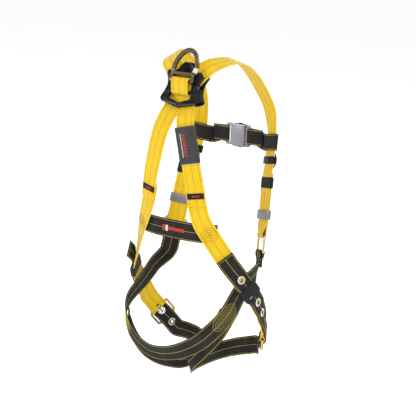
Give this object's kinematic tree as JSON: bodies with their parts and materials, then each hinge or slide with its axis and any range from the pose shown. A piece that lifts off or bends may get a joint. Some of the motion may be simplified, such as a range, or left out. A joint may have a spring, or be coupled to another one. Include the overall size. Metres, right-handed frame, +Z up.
{
  "type": "full-body fall-arrest harness",
  "caption": "Full-body fall-arrest harness of flat webbing: crossed shoulder straps, back plate with D-ring, seat and leg straps, chest buckle.",
  "frame": {"origin": "on the wearer's body axis at the height of the middle of the waist strap", "axes": "+Z up along the wearer's spine, +X to the wearer's left, -Y the way the wearer faces, so the back plate and D-ring are on the +Y side"},
  "size_m": [0.3578, 0.3059, 0.7906],
  "materials": {
    "yellow_webbing": "woven polyester",
    "black_webbing": "woven polyester",
    "black_elastic": "knitted elastic",
    "black_plastic": "satin moulded",
    "bronze_steel": "plated bronze tone",
    "yellow_zinc_steel": "yellow passivated zinc",
    "grey_steel": "satin plated",
    "eyelet_metal": "nickelled rolled rim",
    "label_paper": "coated label sheet"
  },
  "bodies": {
    "harness": {"shoulder_strap_right": "yellow_webbing", "shoulder_strap_left": "yellow_webbing", "hip_strap_right": "yellow_webbing", "hip_strap_left": "yellow_webbing", "waist_strap": "black_webbing", "sub_pelvic_strap": "black_webbing", "leg_strap_right": "black_webbing", "leg_strap_left": "black_webbing", "torso_ring_right": "yellow_zinc_steel", "lanyard_keeper_base_right": "black_plastic", "torso_ring_left": "yellow_zinc_steel", "lanyard_keeper_base_left": "black_plastic", "chest_strap_right": "black_webbing", "chest_strap_left": "black_webbing", "chest_buckle_housing": "grey_steel", "chest_buckle_tongue": "grey_steel", "leg_buckle_frame_right": "yellow_zinc_steel", "grommet_right_1": "eyelet_metal", "grommet_right_2": "eyelet_metal", "grommet_right_3": "eyelet_metal", "grommet_right_4": "eyelet_metal", "grommet_right_5": "eyelet_metal", "hip_keeper_right": "black_elastic", "leg_buckle_frame_left": "yellow_zinc_steel", "grommet_left_1": "eyelet_metal", "grommet_left_2": "eyelet_metal", "grommet_left_3": "eyelet_metal", "grommet_left_4": "eyelet_metal", "grommet_left_5": "eyelet_metal", "hip_keeper_left": "black_elastic", "strap_tag_right": "black_elastic", "strap_tag_left": "black_elastic", "label_pouch": "black_plastic", "label_booklet": "label_paper", "dorsal_plate": "black_plastic", "ring_loop": "yellow_webbing"},
    "dorsal_ring": {"dorsal_d_ring": "bronze_steel"},
    "lanyard_ring_right": {"lanyard_ring_right": "black_plastic"},
    "leg_roller_right": {"leg_buckle_roller_right": "grey_steel"},
    "leg_tongue_right": {"leg_buckle_tongue_right": "yellow_zinc_steel"},
    "slide_buckle_right": {"slide_buckle_right": "grey_steel"},
    "free_end_keeper_right": {"free_end_keeper_right": "black_elastic"},
    "lanyard_ring_left": {"lanyard_ring_left": "black_plastic"},
    "leg_roller_left": {"leg_buckle_roller_left": "grey_steel"},
    "leg_tongue_left": {"leg_buckle_tongue_left": "yellow_zinc_steel"},
    "slide_buckle_left": {"slide_buckle_left": "grey_steel"},
    "free_end_keeper_left": {"free_end_keeper_left": "black_elastic"},
    "chest_release_lower": {"chest_release_lower": "black_plastic"},
    "chest_release_upper": {"chest_release_upper": "black_plastic"}
  },
  "joints": [
    {"name": "dorsal_ring_hinge", "type": "hinge", "parent": "harness", "child": "dorsal_ring", "pos_m": [-0.002, 0.09674, 0.34301], "axis": [-1, 0, 0], "range_deg": [0, 140]},
    {"name": "lanyard_ring_hinge_right", "type": "hinge", "parent": "harness", "child": "lanyard_ring_right", "pos_m": [-0.11328, -0.13878, 0.13827], "axis": [0.0738, -0.2354, 0.9691], "range_deg": [-75, 75]},
    {"name": "leg_roller_spin_right", "type": "hinge", "parent": "harness", "child": "leg_roller_right", "pos_m": [-0.14028, -0.08942, -0.29928], "axis": [-0.3613, 0.6794, -0.6387], "continuous": true},
    {"name": "leg_tongue_hinge_right", "type": "hinge", "parent": "harness", "child": "leg_tongue_right", "pos_m": [-0.1533, -0.06882, -0.27], "axis": [-0.3613, 0.6794, -0.6387], "range_deg": [-1, 1]},
    {"name": "slide_buckle_travel_right", "type": "slide", "parent": "harness", "child": "slide_buckle_right", "axis": [0.0738, -0.2354, 0.9691], "range_m": [-0.012, 0.015]},
    {"name": "free_end_keeper_travel_right", "type": "slide", "parent": "harness", "child": "free_end_keeper_right", "axis": [0.0738, -0.2354, 0.9691], "range_m": [-0.03, 0.008]},
    {"name": "lanyard_ring_hinge_left", "type": "hinge", "parent": "harness", "child": "lanyard_ring_left", "pos_m": [0.11328, -0.13878, 0.13827], "axis": [-0.0738, -0.2354, 0.9691], "range_deg": [-75, 75]},
    {"name": "leg_roller_spin_left", "type": "hinge", "parent": "harness", "child": "leg_roller_left", "pos_m": [0.14028, -0.08942, -0.29928], "axis": [-0.3613, -0.6794, 0.6387], "continuous": true},
    {"name": "leg_tongue_hinge_left", "type": "hinge", "parent": "harness", "child": "leg_tongue_left", "pos_m": [0.1533, -0.06882, -0.27], "axis": [-0.3613, -0.6794, 0.6387], "range_deg": [-1, 1]},
    {"name": "slide_buckle_travel_left", "type": "slide", "parent": "harness", "child": "slide_buckle_left", "axis": [-0.0738, -0.2354, 0.9691], "range_m": [-0.012, 0.015]},
    {"name": "free_end_keeper_travel_left", "type": "slide", "parent": "harness", "child": "free_end_keeper_left", "axis": [-0.0738, -0.2354, 0.9691], "range_m": [-0.03, 0.008]},
    {"name": "chest_release_lower_press", "type": "slide", "parent": "harness", "child": "chest_release_lower", "axis": [0, 0, 1], "range_m": [0, 0.002], "stiffness_N_per_m": 400},
    {"name": "chest_release_upper_press", "type": "slide", "parent": "harness", "child": "chest_release_upper", "axis": [0, 0, -1], "range_m": [0, 0.002], "stiffness_N_per_m": 400}
  ]
}
